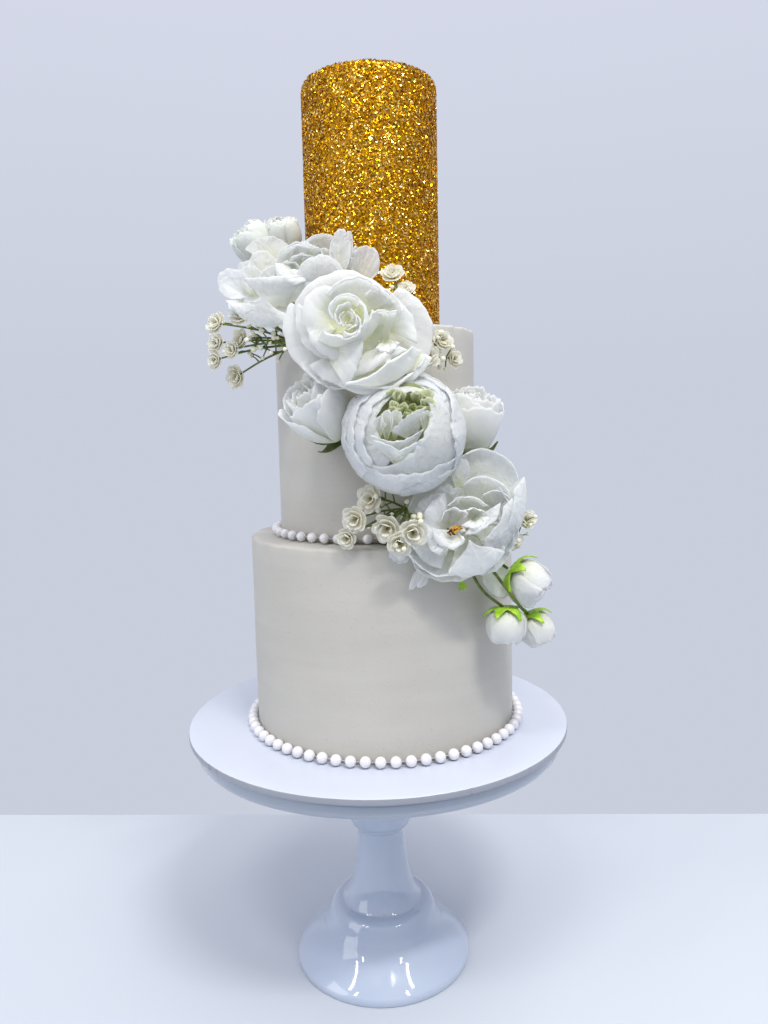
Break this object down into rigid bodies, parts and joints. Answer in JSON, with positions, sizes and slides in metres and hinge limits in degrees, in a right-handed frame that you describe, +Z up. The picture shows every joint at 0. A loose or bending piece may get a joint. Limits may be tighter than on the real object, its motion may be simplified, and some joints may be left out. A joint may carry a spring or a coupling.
{
  "type": "tiered wedding cake",
  "caption": "Tiered buttercream wedding cake on a board and pedestal stand, with a gold flake top tier, pearl strings at the tier bases and a cascade of white silk flowers",
  "frame": {"origin": "middle of the stand foot's underside, on the table", "axes": "+Z up through the stand; -Y is the front, where the flower cascade hangs; +X to the right seen from the front"},
  "size_m": [0.3048, 0.3048, 0.6973],
  "materials": {
    "stand_gloss": "glossy white glaze, cool reflections",
    "board_foil": "embossed white foil paper wrapped over a stiff board",
    "buttercream": "smoothed ivory buttercream, satin, with faint knife marks",
    "gold_flake": "coarse gold flakes, sparkling",
    "pearl": "pearlescent white beads",
    "silk_white": "thin white silk petals",
    "silk_green": "thin pale green silk petals",
    "silk_cream": "small cream blossoms on thin green stems"
  },
  "bodies": {
    "root": {"stand_pedestal": "stand_gloss", "stand_plate": "stand_gloss", "cake_board": "board_foil", "tier_bottom": "buttercream", "tier_middle": "buttercream", "tier_top": "gold_flake", "pearls_bottom": "pearl", "pearls_middle": "pearl", "rose_front": "silk_white", "cabbage_front": "silk_white", "peony_right": "silk_white", "peony_left": "silk_white", "bud_left": "silk_white", "bud_right": "silk_white", "ranunculus_left": "silk_green", "ranunculus_top": "silk_green", "blossom_upper": "silk_white", "blossom_lower": "silk_white", "blossom_tip": "silk_white", "spray_left": "silk_cream", "spray_right": "silk_cream", "spray_lower": "silk_cream", "spray_edge": "silk_cream"}
  },
  "joints": []
}
